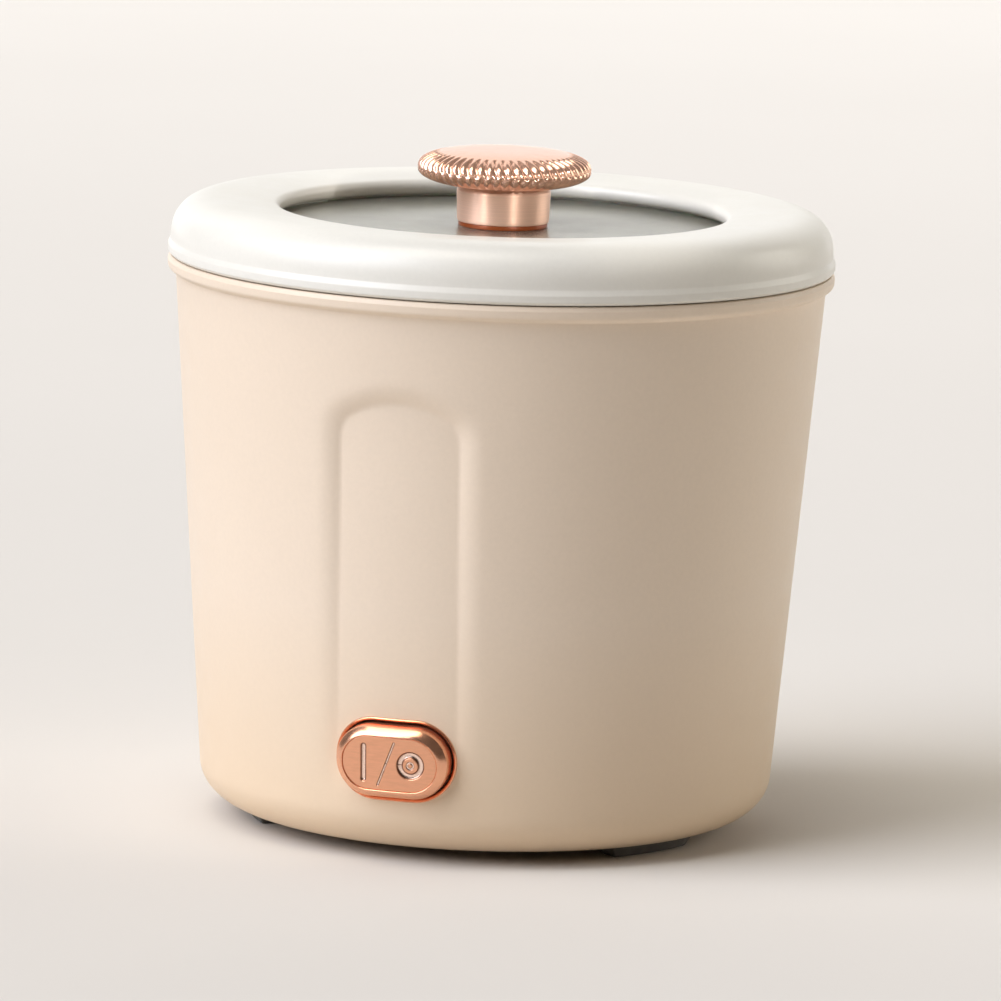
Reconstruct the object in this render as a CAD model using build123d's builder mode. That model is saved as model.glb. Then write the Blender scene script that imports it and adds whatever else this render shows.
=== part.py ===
from build123d import *
from math import atan2, cos, degrees, radians, sin
import os

# A small round yogurt maker: a tapered housing on three feet, a fixed heating bowl, a removable
# steel pot, and a domed lid with a glass window and a knob. Millimetres, +Z up, front towards -Y.
# The origin is on the floor, under the middle of the housing.

# ---- driving dimensions ----
RIM_R = 80.0  # largest radius, at the rim bead
FOOT_H = 2.5  # height of the feet under the housing
WALL = 2.2  # wall of the housing
WALL_TOP = 128.9 + FOOT_H  # where the tapered wall meets the bead
WALL_TOP_R = 77.97
WALL_BOTTOM_R = 68.15  # the wall carried down to the bottom plane
BOTTOM_FILLET = 10.0
PARTING = 132.85 + FOOT_H  # top face of the housing, where the lid sits
LID_GAP = 0.3
LID_TOP = 146.8 + FOOT_H

# housing bottom
OPENING_R = 40.0  # service opening
LEDGE = 2.0  # thickness of the ledge round it, and of the base plate
BASE_PLATE_R = 50.0
SCREW_PCD_R = 44.0
SCREW_R = 1.5
FOOT_AZIMUTHS = {"front_right": 64, "rear": 180, "front_left": -64}  # degrees from the front
FOOT_OUTER_R = 58.0
FOOT_INNER_R = 50.8
FOOT_HALF_ARC = 14.0
PEG_R = 2.2
PEG_PCD_R = (FOOT_INNER_R + FOOT_OUTER_R) / 2
PEG_ANGLE = 8.0  # each peg from the middle of its foot
BOSS_R = 3.5
VENT_R, VENT_L, VENT_W = 24.0, 14.0, 2.4

# heating bowl and pot
BOWL_BOTTOM = 38.0 + FOOT_H
BOWL_RIM = 130.0 + FOOT_H
BOWL_BOTTOM_R = 64.5
BOWL_TOP_R = 71.4
BOWL_T = 1.0
BOWL_FLANGE_R = RIM_R - 5.0
POT_T = 0.8
POT_GAP = 0.6
POT_CLEAR = 0.3
ROLL_R = 1.2

# power button
BUTTON_Z = 22.9 + FOOT_H
BUTTON_W, BUTTON_H = 27.5, 17.1
BUTTON_RIM_W, BUTTON_RIM_H = 27.0, 16.5
BUTTON_FACE_W, BUTTON_FACE_H = 22.9, 13.2
BUTTON_FACE_LIFT = 4.4  # button face above the wall
BUTTON_RIM_LIFT = 2.7
BUTTON_GAP = 0.3
MARK_DEPTH = 0.5
BAR_X, BAR_LENGTH, BAR_W = -6.3, 9.2, 1.4
SLASH_X, SLASH_LENGTH, SLASH_W = -0.7, 11.6, 0.5
SLASH_ANGLE = 68.7  # from the horizontal
RING_X, RING_R, RING_ISLAND_R = 5.3, 3.35, 1.9
BEZEL_W, BEZEL_H = 29.8, 19.8
BEZEL_LIFT = 1.5
BUTTON_HOLE_W, BUTTON_HOLE_H = 29.0, 19.0
BRACKET_DEPTH = 9.5  # front of the switch bracket behind the wall
BRACKET_T = 1.5
BRACKET_BOSS_X = 19.0

# arched recess over the button
ARCH_W = 30.0
ARCH_TOP = 109.6 + FOOT_H
ARCH_SHOULDER = 104.0 + FOOT_H
ARCH_BOTTOM = 30.0 + FOOT_H
ARCH_DEPTH_TOP = 1.2
ARCH_DEPTH_BOTTOM = 0.35

# mains inlet
INLET_Z = 22.0 + FOOT_H
INLET_W, INLET_H = 22.0, 13.0
INLET_FLANGE = 1.6
SOCKET_W, SOCKET_H, SOCKET_DEPTH = 18.6, 9.0, 15.0
PIN_R = 1.2
PIN_X = 4.3

# lid
LID_R = 79.4
LID_LIP_R = 55.3  # centre of the rolled inner lip
LID_LIP_Z = 143.9 + FOOT_H
LID_LIP_NOSE = 1.9
GLASS_TOP = 141.5 + FOOT_H
GLASS_T = 3.2
GLASS_R = 58.5
GLASS_HOLE_R = 3.2

# knob
COLLAR_R = 10.7
COLLAR_TOP = 142.55 + FOOT_H
NECK_R_LOW, NECK_R_HIGH = 11.0, 11.3
NECK_TOP = 151.3 + FOOT_H
CAP_R = 20.82
CAP_EQUATOR = 154.9 + FOOT_H
CAP_TOP = 159.9 + FOOT_H
CAP_UNDER_R = 10.4
CAP_ROUNDNESS = 3.0  # superellipse exponent of the cap's shoulder
KNURLS = 54
NOTCH_R = 0.9
NOTCH_SLANT = 22.0
KNOB_SCREW_R = 2.5
KNOB_BORE_R = 2.55

SLOPE = (WALL_TOP_R - WALL_BOTTOM_R) / (WALL_TOP - FOOT_H)
TILT = degrees(atan2(WALL_TOP_R - WALL_BOTTOM_R, WALL_TOP - FOOT_H))


def wall_r(z):
    """Outer radius of the tapered wall at height z."""
    return WALL_BOTTOM_R + SLOPE * (z - FOOT_H)


def bowl_r(z):
    """Outer radius of the heating bowl at height z."""
    return BOWL_BOTTOM_R + (BOWL_TOP_R - BOWL_BOTTOM_R) * (z - BOWL_BOTTOM) / (BOWL_RIM - BOWL_BOTTOM)


def superellipse(r_axis, z_base, r_half, z_half, exponent, steps):
    """Points of a quarter superellipse, from its side (z_base) up to its top (r_axis)."""
    angles = [radians(90 * i / steps) for i in range(steps + 1)]
    return [
        (r_axis + r_half * max(cos(a), 0) ** (2 / exponent), z_base + z_half * sin(a) ** (2 / exponent))
        for a in angles
    ]


def button_plane(lift):
    """Plane parallel to the button's face, at a height over the wall; its normal points outwards."""
    normal = Vector(0, -cos(radians(TILT)), -sin(radians(TILT)))
    middle = Vector(0, -wall_r(BUTTON_Z), BUTTON_Z)
    return Plane(origin=middle + normal * lift, x_dir=(1, 0, 0), z_dir=normal)


def inlet_plane(depth):
    """Plane facing the back, at a depth inside the wall's back line; its normal points outwards."""
    return Plane(origin=(0, wall_r(INLET_Z) - depth, INLET_Z), x_dir=(-1, 0, 0), z_dir=(0, 1, 0))


def finish(part, name):
    """Labels a finished piece and writes its STEP."""
    part.label = name
    export_step(part, f"parts/{name}.step")


os.makedirs("parts", exist_ok=True)

# ---------------------------------------------------------------- housing

# the filled outer form of the housing, used to trim pieces that sit on its curved wall
with BuildPart() as wall_form:
    with BuildSketch(Plane.XZ):
        Polygon((0, FOOT_H), (WALL_BOTTOM_R, FOOT_H), (WALL_TOP_R, WALL_TOP), (0, WALL_TOP), align=None)
    revolve(axis=Axis.Z)

# everything in front of the recessed panel's face
with BuildPart() as arch_cutter:
    with BuildSketch(Plane.XZ):
        Polygon(
            (wall_r(ARCH_BOTTOM) - ARCH_DEPTH_BOTTOM, ARCH_BOTTOM),
            (RIM_R + 5, ARCH_BOTTOM),
            (RIM_R + 5, ARCH_TOP),
            (wall_r(ARCH_TOP) - ARCH_DEPTH_TOP, ARCH_TOP),
            align=None,
        )
    revolve(axis=Axis.Z)
    with BuildSketch(Plane.XZ):
        with BuildLine():
            Line((-ARCH_W / 2, ARCH_BOTTOM), (ARCH_W / 2, ARCH_BOTTOM))
            Line((ARCH_W / 2, ARCH_BOTTOM), (ARCH_W / 2, ARCH_SHOULDER))
            ThreePointArc((ARCH_W / 2, ARCH_SHOULDER), (0, ARCH_TOP), (-ARCH_W / 2, ARCH_SHOULDER))
            Line((-ARCH_W / 2, ARCH_SHOULDER), (-ARCH_W / 2, ARCH_BOTTOM))
        arch_face = make_face()
        fillet(arch_face.vertices().group_by(Axis.Y)[-1], 3)
    extrude(amount=RIM_R + 5, mode=Mode.INTERSECT)

with BuildPart() as outer_shell:
    with BuildSketch(Plane.XZ):
        with BuildLine():
            FilletPolyline(
                (OPENING_R, FOOT_H + LEDGE),
                (BASE_PLATE_R + 0.3, FOOT_H + LEDGE),
                (BASE_PLATE_R + 0.3, FOOT_H),
                (WALL_BOTTOM_R, FOOT_H),
                (WALL_TOP_R, WALL_TOP),
                (RIM_R, WALL_TOP + 0.9),
                (RIM_R, PARTING),
                (RIM_R - 4.8, PARTING),
                (RIM_R - 4.8, WALL_TOP - 1.9),
                (RIM_R - 7.8, WALL_TOP - 1.9),
                (RIM_R - 7.8, WALL_TOP - 3.9),
                (wall_r(WALL_TOP - 6.9) - WALL, WALL_TOP - 6.9),
                (wall_r(FOOT_H + 2 * LEDGE) - WALL, FOOT_H + 2 * LEDGE),
                (OPENING_R, FOOT_H + 2 * LEDGE),
                radius=[0, 0, 0, BOTTOM_FILLET, 0, 1.2, 0.7, 0.6, 0, 0, 0, 0, BOTTOM_FILLET - WALL, 0],
                close=True,
            )
        make_face()
    revolve(axis=Axis.Z)
    add(arch_cutter.part, mode=Mode.SUBTRACT)
    # bosses for the bottom cover, on the ledge
    with BuildSketch(Plane.XY.offset(FOOT_H + LEDGE)):
        with PolarLocations(SCREW_PCD_R, 3, start_angle=90):
            Circle(BOSS_R)
    extrude(amount=12)
    with BuildSketch(Plane.XY.offset(FOOT_H + LEDGE)):
        with PolarLocations(SCREW_PCD_R, 3, start_angle=90):
            Circle(SCREW_R)
    extrude(amount=9, mode=Mode.SUBTRACT)
    # peg holes of the feet
    for azimuth in FOOT_AZIMUTHS.values():
        with BuildSketch(Plane.XY.offset(FOOT_H)):
            with PolarLocations(PEG_PCD_R, 2, azimuth - 90 - PEG_ANGLE, 2 * PEG_ANGLE, endpoint=True):
                Circle(PEG_R)
        extrude(amount=2 * LEDGE, mode=Mode.SUBTRACT)
    # bosses for the switch bracket, from the bracket out into the wall
    with BuildSketch(button_plane(-BRACKET_DEPTH)):
        with GridLocations(2 * BRACKET_BOSS_X, 1, 2, 1):
            Circle(3.2)
    extrude(amount=BRACKET_DEPTH - 4.0)
    with BuildSketch(button_plane(-BRACKET_DEPTH)):
        with GridLocations(2 * BRACKET_BOSS_X, 1, 2, 1):
            Circle(SCREW_R)
    extrude(amount=4.5, mode=Mode.SUBTRACT)
    # button hole and inlet hole
    with BuildSketch(button_plane(-8)):
        SlotOverall(BUTTON_HOLE_W, BUTTON_HOLE_H)
    extrude(amount=20, mode=Mode.SUBTRACT)
    with BuildSketch(inlet_plane(8)):
        RectangleRounded(INLET_W, INLET_H, 3)
    extrude(amount=20, mode=Mode.SUBTRACT)
finish(outer_shell.part, "outer_shell")

with BuildPart() as base_plate:
    with BuildSketch(Plane.XY.offset(FOOT_H)):
        Circle(BASE_PLATE_R)
    extrude(amount=LEDGE)
    chamfer(base_plate.edges().group_by(Axis.Z)[0], 0.4)
    with BuildSketch(Plane.XY.offset(FOOT_H)):
        with PolarLocations(VENT_R, 12):
            SlotOverall(VENT_L, VENT_W)
    extrude(amount=LEDGE, mode=Mode.SUBTRACT)
    with BuildSketch(Plane.XY.offset(FOOT_H)):
        with PolarLocations(SCREW_PCD_R, 3, start_angle=90):
            Circle(SCREW_R + 0.2)
    extrude(amount=LEDGE, mode=Mode.SUBTRACT)
    with BuildSketch(Plane.XY.offset(FOOT_H)):
        with PolarLocations(SCREW_PCD_R, 3, start_angle=90):
            Circle(3.0)
    extrude(amount=1.0, mode=Mode.SUBTRACT)
finish(base_plate.part, "base_plate")

with BuildPart() as base_screws:
    with BuildSketch(Plane.XY.offset(FOOT_H + 0.1)):
        with PolarLocations(SCREW_PCD_R, 3, start_angle=90):
            Circle(2.8)
    extrude(amount=0.9)
    with BuildSketch(Plane.XY.offset(FOOT_H + 1.0)):
        with PolarLocations(SCREW_PCD_R, 3, start_angle=90):
            Circle(SCREW_R)
    extrude(amount=8)
    with BuildSketch(Plane.XY.offset(FOOT_H + 0.1)):
        with PolarLocations(SCREW_PCD_R, 3, start_angle=90):
            Rectangle(3.4, 0.6)
            Rectangle(0.6, 3.4)
    extrude(amount=0.6, mode=Mode.SUBTRACT)
finish(base_screws.part, "base_screws")

for place, azimuth in FOOT_AZIMUTHS.items():
    with BuildPart() as foot:
        with BuildSketch(Plane.XZ):
            Polygon(
                (FOOT_INNER_R, FOOT_H),
                (FOOT_INNER_R + 0.8, 0),
                (FOOT_OUTER_R - 1.4, 0),
                (FOOT_OUTER_R, FOOT_H),
                align=None,
            )
        revolve(axis=Axis.Z, revolution_arc=2 * FOOT_HALF_ARC)
        ends = foot.edges().filter_by(GeomType.LINE)
        fillet(ends.filter_by(lambda edge: edge.bounding_box().size.Z > 1), 1.5)
        with BuildSketch(Plane.XY.offset(FOOT_H)):
            with PolarLocations(PEG_PCD_R, 2, FOOT_HALF_ARC - PEG_ANGLE, 2 * PEG_ANGLE, endpoint=True):
                Circle(PEG_R - 0.05)
        extrude(amount=2 * LEDGE - 0.2)
    turn = Rot(0, 0, azimuth - 90 - FOOT_HALF_ARC)
    finish(turn * foot.part, f"foot_{place}")

# ---------------------------------------------------------------- heating bowl and pot

with BuildPart() as heating_bowl:
    with BuildSketch(Plane.XZ):
        with BuildLine():
            FilletPolyline(
                (0, BOWL_BOTTOM),
                (BOWL_BOTTOM_R, BOWL_BOTTOM),
                (bowl_r(BOWL_RIM - BOWL_T), BOWL_RIM - BOWL_T),
                (BOWL_FLANGE_R, BOWL_RIM - BOWL_T),
                (BOWL_FLANGE_R, BOWL_RIM),
                (bowl_r(BOWL_RIM) - BOWL_T, BOWL_RIM),
                (BOWL_BOTTOM_R - BOWL_T, BOWL_BOTTOM + BOWL_T),
                (0, BOWL_BOTTOM + BOWL_T),
                radius=[0, 8, 0, 0, 0, 0, 8 - BOWL_T, 0],
                close=True,
            )
        make_face()
    revolve(axis=Axis.Z)
finish(heating_bowl.part, "heating_bowl")

POT_BOTTOM = BOWL_BOTTOM + BOWL_T + POT_CLEAR
POT_LIP = BOWL_RIM + 1.4  # top of the pot's flange
POT_INSET = BOWL_T + POT_GAP
POT_FLANGE_R = RIM_R - 6.6
with BuildPart() as inner_pot:
    with BuildSketch(Plane.XZ):
        with BuildLine():
            FilletPolyline(
                (0, POT_BOTTOM),
                (bowl_r(POT_BOTTOM) - POT_INSET, POT_BOTTOM),
                (bowl_r(BOWL_RIM) - POT_INSET, POT_LIP - POT_T),
                (POT_FLANGE_R, POT_LIP - POT_T),
                (POT_FLANGE_R, POT_LIP),
                (bowl_r(BOWL_RIM) - POT_INSET - POT_T, POT_LIP),
                (bowl_r(POT_BOTTOM) - POT_INSET - POT_T, POT_BOTTOM + POT_T),
                (0, POT_BOTTOM + POT_T),
                radius=[0, 8, 0, 0, 0, 1.0, 8 - POT_T, 0],
                close=True,
            )
        make_face()
        with Locations((POT_FLANGE_R, POT_LIP - POT_T + 0.9)):
            Circle(ROLL_R)
    revolve(axis=Axis.Z)
finish(inner_pot.part, "inner_pot")

with BuildPart() as insulation_sleeve:
    with BuildSketch(Plane.XZ):
        sleeve_low, sleeve_high = BOWL_BOTTOM + 8, BOWL_RIM - 8
        Polygon(
            (bowl_r(sleeve_low) + 0.4, sleeve_low),
            (bowl_r(sleeve_low) + 3.2, sleeve_low),
            (bowl_r(sleeve_high) + 2.8, sleeve_high),
            (bowl_r(sleeve_high) + 0.4, sleeve_high),
            align=None,
        )
    revolve(axis=Axis.Z)
finish(insulation_sleeve.part, "insulation_sleeve")

# ---------------------------------------------------------------- heater

PLATE_T = 3.0
PLATE_LOW = BOWL_BOTTOM - PLATE_T
PTC_H = 3.5
PTC_X = 11.0
CLAMP_T = 1.2
CLAMP_SCREW_X = 26.0
with BuildPart() as heater_plate:
    with BuildSketch(Plane.XY.offset(PLATE_LOW)):
        Circle(34)
    extrude(amount=PLATE_T)
    with BuildSketch(Plane.XY.offset(PLATE_LOW)):
        with GridLocations(2 * CLAMP_SCREW_X, 1, 2, 1):
            Circle(SCREW_R)
    extrude(amount=2.2, mode=Mode.SUBTRACT)
finish(heater_plate.part, "heater_plate")

with BuildPart() as ptc_heaters:
    with BuildSketch(Plane.XY.offset(PLATE_LOW - PTC_H)):
        with GridLocations(2 * PTC_X, 1, 2, 1):
            Rectangle(20, 15)
    extrude(amount=PTC_H)
    chamfer(ptc_heaters.edges().filter_by(Axis.Z), 0.6)
finish(ptc_heaters.part, "ptc_heaters")

with BuildPart() as heater_clamp:
    with BuildSketch(Plane.XY.offset(PLATE_LOW - PTC_H - CLAMP_T)):
        SlotOverall(2 * CLAMP_SCREW_X + 10, 10)
    extrude(amount=CLAMP_T)
    with BuildSketch(Plane.XY.offset(PLATE_LOW - PTC_H)):
        with GridLocations(2 * CLAMP_SCREW_X, 1, 2, 1):
            Circle(3.0)
    extrude(amount=PTC_H)
    with BuildSketch(Plane.XY.offset(PLATE_LOW - PTC_H - CLAMP_T)):
        with GridLocations(2 * CLAMP_SCREW_X, 1, 2, 1):
            Circle(SCREW_R)
    extrude(amount=PTC_H + CLAMP_T, mode=Mode.SUBTRACT)
finish(heater_clamp.part, "heater_clamp")

with BuildPart() as clamp_screws:
    with BuildSketch(Plane.XY.offset(PLATE_LOW - PTC_H - CLAMP_T - 1.6)):
        with GridLocations(2 * CLAMP_SCREW_X, 1, 2, 1):
            Circle(2.8)
    extrude(amount=1.6)
    with BuildSketch(Plane.XY.offset(PLATE_LOW - PTC_H - CLAMP_T)):
        with GridLocations(2 * CLAMP_SCREW_X, 1, 2, 1):
            Circle(SCREW_R)
    extrude(amount=PTC_H + CLAMP_T + 2.0)
finish(clamp_screws.part, "clamp_screws")

THERMOSTAT_Y = 19.0
TAB_X = 4.0
with BuildPart() as thermostat:
    with BuildSketch(Plane.XY.offset(PLATE_LOW - 6)):
        with Locations((0, THERMOSTAT_Y)):
            Circle(8)
    extrude(amount=6)
    fillet(thermostat.edges().group_by(Axis.Z)[0], 1)
    with BuildSketch(Plane.XY.offset(PLATE_LOW - 10)):
        with Locations((-TAB_X, THERMOSTAT_Y), (TAB_X, THERMOSTAT_Y)):
            Rectangle(0.8, 5)
    extrude(amount=4)
finish(thermostat.part, "thermostat")

FUSE_Y = -18.0
FUSE_R = 2.0
FUSE_L = 10.0
with BuildPart() as thermal_fuse:
    with BuildSketch(Plane.YZ.offset(-FUSE_L / 2)):
        with Locations((FUSE_Y, PLATE_LOW - FUSE_R)):
            Circle(FUSE_R)
    extrude(amount=FUSE_L)
    with BuildSketch(Plane.YZ.offset(-FUSE_L / 2 - 4)):
        with Locations((FUSE_Y, PLATE_LOW - FUSE_R)):
            Circle(0.5)
    extrude(amount=FUSE_L + 8)
finish(thermal_fuse.part, "thermal_fuse")

# ---------------------------------------------------------------- power button and switch

with BuildPart() as button_bezel:
    with BuildSketch(button_plane(-3)):
        SlotOverall(BEZEL_W, BEZEL_H)
    extrude(amount=3 + BEZEL_LIFT)
    fillet(button_bezel.faces().sort_by(Axis.Y)[0].edges(), 0.8)
    add(wall_form.part, mode=Mode.SUBTRACT)
    with BuildSketch(button_plane(-5)):
        SlotOverall(BUTTON_HOLE_W, BUTTON_HOLE_H)
    extrude(amount=5.5)
    with BuildSketch(button_plane(-5)):
        SlotOverall(BUTTON_W + 2 * BUTTON_GAP, BUTTON_H + 2 * BUTTON_GAP)
    extrude(amount=20, mode=Mode.SUBTRACT)
finish(button_bezel.part, "button_bezel")

CAP_BACK = -2.5
PLUNGER_R = 3.0
PLUNGER_END = -13.0
with BuildPart() as button_cap:
    with BuildSketch(button_plane(CAP_BACK)):
        SlotOverall(BUTTON_W, BUTTON_H)
    extrude(amount=BUTTON_RIM_LIFT - 0.6 - CAP_BACK)
    with BuildSketch(button_plane(BUTTON_RIM_LIFT - 0.6)):
        SlotOverall(BUTTON_W, BUTTON_H)
    with BuildSketch(button_plane(BUTTON_RIM_LIFT)):
        SlotOverall(BUTTON_RIM_W, BUTTON_RIM_H)
    loft()
    with BuildSketch(button_plane(BUTTON_RIM_LIFT)):
        SlotOverall(BUTTON_RIM_W, BUTTON_RIM_H)
    with BuildSketch(button_plane(BUTTON_FACE_LIFT)):
        SlotOverall(BUTTON_FACE_W, BUTTON_FACE_H)
    loft()
    # the marks, cut into the face: a bar, a slash and a ring
    with BuildSketch(button_plane(BUTTON_FACE_LIFT - MARK_DEPTH)):
        with Locations((BAR_X, 0)):
            SlotOverall(BAR_LENGTH, BAR_W, rotation=90)
        with Locations((SLASH_X, 0)):
            SlotOverall(SLASH_LENGTH, SLASH_W, rotation=SLASH_ANGLE)
        with Locations((RING_X, 0)):
            Circle(RING_R)
            Circle(RING_ISLAND_R, mode=Mode.SUBTRACT)
    extrude(amount=MARK_DEPTH, mode=Mode.SUBTRACT)
finish(button_cap.part, "button_cap")

with BuildPart() as button_plunger:
    with BuildSketch(button_plane(PLUNGER_END)):
        Circle(PLUNGER_R)
    extrude(amount=CAP_BACK - 1.5 - PLUNGER_END)
    with BuildSketch(button_plane(CAP_BACK - 1.5)):
        SlotOverall(16, 8)
    extrude(amount=1.5)
finish(button_plunger.part, "button_plunger")

BRACKET_BACK = -BRACKET_DEPTH - BRACKET_T
with BuildPart() as switch_bracket:
    with BuildSketch(button_plane(BRACKET_BACK)):
        RectangleRounded(2 * BRACKET_BOSS_X + 8, 16, 4)
        Circle(PLUNGER_R + 0.4, mode=Mode.SUBTRACT)
        with GridLocations(2 * BRACKET_BOSS_X, 1, 2, 1):
            Circle(SCREW_R + 0.1, mode=Mode.SUBTRACT)
    extrude(amount=BRACKET_T)
finish(switch_bracket.part, "switch_bracket")

with BuildPart() as switch_screws:
    with BuildSketch(button_plane(BRACKET_BACK - 1.8)):
        with GridLocations(2 * BRACKET_BOSS_X, 1, 2, 1):
            Circle(2.8)
    extrude(amount=1.8)
    with BuildSketch(button_plane(BRACKET_BACK)):
        with GridLocations(2 * BRACKET_BOSS_X, 1, 2, 1):
            Circle(SCREW_R)
    extrude(amount=BRACKET_T + 4.0)
finish(switch_screws.part, "switch_screws")

SWITCH_DEPTH = 16.0
with BuildPart() as switch_body:
    with BuildSketch(button_plane(BRACKET_BACK - SWITCH_DEPTH)):
        Rectangle(20, 14)
    extrude(amount=SWITCH_DEPTH)
    chamfer(switch_body.edges().filter_by(GeomType.LINE), 0.5)
    with BuildSketch(button_plane(BRACKET_BACK - 6)):
        Circle(PLUNGER_R + 0.4)
    extrude(amount=6, mode=Mode.SUBTRACT)
finish(switch_body.part, "switch_body")

SWITCH_BACK = BRACKET_BACK - SWITCH_DEPTH
TERMINAL_X = 5.0
TERMINAL_L = 7.0
with BuildPart() as switch_terminals:
    with BuildSketch(button_plane(SWITCH_BACK - TERMINAL_L)):
        with GridLocations(2 * TERMINAL_X, 1, 2, 1):
            Rectangle(0.8, 4.8)
    extrude(amount=TERMINAL_L)
finish(switch_terminals.part, "switch_terminals")

# ---------------------------------------------------------------- mains inlet

with BuildPart() as inlet_housing:
    with BuildSketch(inlet_plane(4)):
        RectangleRounded(INLET_W + 3, INLET_H + 3, 4)
    extrude(amount=4 + INLET_FLANGE)
    add(wall_form.part, mode=Mode.SUBTRACT)
    with BuildSketch(inlet_plane(20)):
        RectangleRounded(INLET_W - 0.1, INLET_H - 0.1, 3)
    extrude(amount=20 + INLET_FLANGE - 0.4)
    with BuildSketch(inlet_plane(SOCKET_DEPTH)):
        SlotOverall(SOCKET_W, SOCKET_H)
    extrude(amount=SOCKET_DEPTH + INLET_FLANGE, mode=Mode.SUBTRACT)
    with BuildSketch(inlet_plane(20)):
        with GridLocations(2 * PIN_X, 1, 2, 1):
            Circle(PIN_R)
    extrude(amount=6, mode=Mode.SUBTRACT)
finish(inlet_housing.part, "inlet_housing")

INLET_TAIL = 27.0
with BuildPart() as inlet_pins:
    with BuildSketch(inlet_plane(INLET_TAIL)):
        with GridLocations(2 * PIN_X, 1, 2, 1):
            Circle(PIN_R)
    extrude(amount=INLET_TAIL - 3)
    fillet(inlet_pins.faces().sort_by(Axis.Y)[-2:].edges(), 0.8)
finish(inlet_pins.part, "inlet_pins")

# ---------------------------------------------------------------- internal leads


def lead(name, points, bends, radius=0.9):
    """An internal lead: straight runs joined by arcs, round section."""
    with BuildPart() as wire:
        with BuildLine() as route:
            FilletPolyline(*points, radius=bends)
        with BuildSketch(Plane(origin=route.line @ 0, z_dir=route.line % 0)):
            Circle(radius)
        sweep(path=route.line)
    finish(wire.part, name)


TAB_END = PLATE_LOW - 10.0  # lower end of the thermostat's tabs
tail_y = wall_r(INLET_Z) - INLET_TAIL - 0.1
terminal = button_plane(SWITCH_BACK - TERMINAL_L - 0.1).origin
lead(
    "lead_live",
    [
        (-PIN_X, tail_y, INLET_Z),
        (-PIN_X, tail_y - 12, INLET_Z),
        (-24, 0, 14),
        (-TERMINAL_X, terminal.Y + 12, terminal.Z),
        (-TERMINAL_X, terminal.Y, terminal.Z),
    ],
    [8, 20, 8],
)
lead(
    "lead_neutral",
    [
        (PIN_X, tail_y, INLET_Z),
        (PIN_X, tail_y - 6, INLET_Z),
        (TAB_X, THERMOSTAT_Y, TAB_END - 5),
        (TAB_X, THERMOSTAT_Y, TAB_END - 0.1),
    ],
    [3, 3],
)
lead(
    "lead_switched",
    [
        (TERMINAL_X, terminal.Y, terminal.Z),
        (TERMINAL_X, terminal.Y + 8, terminal.Z),
        (PTC_X, -12, PLATE_LOW - 12),
        (PTC_X, 0, PLATE_LOW - 12),
        (PTC_X, 0, PLATE_LOW - PTC_H - CLAMP_T - 0.1),
    ],
    [6, 5, 3],
)

# ---------------------------------------------------------------- lid

LID_BOTTOM = PARTING + LID_GAP
SKIRT_TOP = 137.4 + FOOT_H
SKIN = 2.4
LINER_R = 77.0
DOME_HALF = 10.0  # width of the rounded shoulder
DOME_ROUNDNESS = 2.3
GASKET_R = 56.3
dome = superellipse(LID_R - DOME_HALF, SKIRT_TOP, DOME_HALF, LID_TOP - SKIRT_TOP, DOME_ROUNDNESS, 10)
inner_dome = superellipse(
    LID_R - DOME_HALF, SKIRT_TOP - 2, DOME_HALF - SKIN, LID_TOP - SKIRT_TOP + 2 - SKIN, DOME_ROUNDNESS, 6
)
RIB_R = 60.2
with BuildPart() as lid_ring:
    with BuildSketch(Plane.XZ):
        with BuildLine():
            Polyline((LINER_R + 0.1, LID_BOTTOM), (RIM_R - 0.7, LID_BOTTOM), (RIM_R, LID_BOTTOM + 0.7))
            Line((RIM_R, LID_BOTTOM + 0.7), (RIM_R, SKIRT_TOP - 1.4))
            Spline(
                (RIM_R, SKIRT_TOP - 1.4),
                (RIM_R - 0.3, SKIRT_TOP - 0.6),
                dome[0],
                tangents=((0, 1), (0, 1)),
            )
            Spline(*dome, tangents=((0, 1), (-1, 0)))
            Spline(
                dome[-1],
                (LID_LIP_R + 5, LID_TOP - 0.5),
                (LID_LIP_R, LID_LIP_Z + LID_LIP_NOSE),
                tangents=((-1, 0), (-1, -0.12)),
            )
            ThreePointArc(
                (LID_LIP_R, LID_LIP_Z + LID_LIP_NOSE),
                (LID_LIP_R - LID_LIP_NOSE, LID_LIP_Z),
                (LID_LIP_R, LID_LIP_Z - LID_LIP_NOSE),
            )
            Polyline(
                (LID_LIP_R, LID_LIP_Z - LID_LIP_NOSE),
                (RIB_R, LID_LIP_Z - LID_LIP_NOSE),
                (RIB_R, GLASS_TOP - GLASS_T - 1.0),
                (RIB_R + 2, GLASS_TOP - GLASS_T - 1.0),
                (RIB_R + 2, LID_TOP - SKIN),
                inner_dome[-1],
            )
            Spline(*reversed(inner_dome), tangents=((1, 0), (0, -1)))
            Polyline(inner_dome[0], (LINER_R + 0.1, SKIRT_TOP - 3), (LINER_R + 0.1, LID_BOTTOM))
        make_face()
    revolve(axis=Axis.Z)
finish(lid_ring.part, "lid_ring")

with BuildPart() as glass_gasket:
    with BuildSketch(Plane.XZ):
        Polygon(
            (GASKET_R, GLASS_TOP),
            (GASKET_R, GLASS_TOP + 0.5),
            (RIB_R - 0.1, GLASS_TOP + 0.5),
            (RIB_R - 0.1, GLASS_TOP - GLASS_T - 1.0),
            (GASKET_R, GLASS_TOP - GLASS_T - 1.0),
            (GASKET_R, GLASS_TOP - GLASS_T),
            (GLASS_R, GLASS_TOP - GLASS_T),
            (GLASS_R, GLASS_TOP),
            align=None,
        )
    revolve(axis=Axis.Z)
finish(glass_gasket.part, "glass_gasket")

with BuildPart() as lid_glass:
    with BuildSketch(Plane.XY.offset(GLASS_TOP - GLASS_T)):
        Circle(GLASS_R)
        Circle(GLASS_HOLE_R, mode=Mode.SUBTRACT)
    extrude(amount=GLASS_T)
finish(lid_glass.part, "lid_glass")

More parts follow.
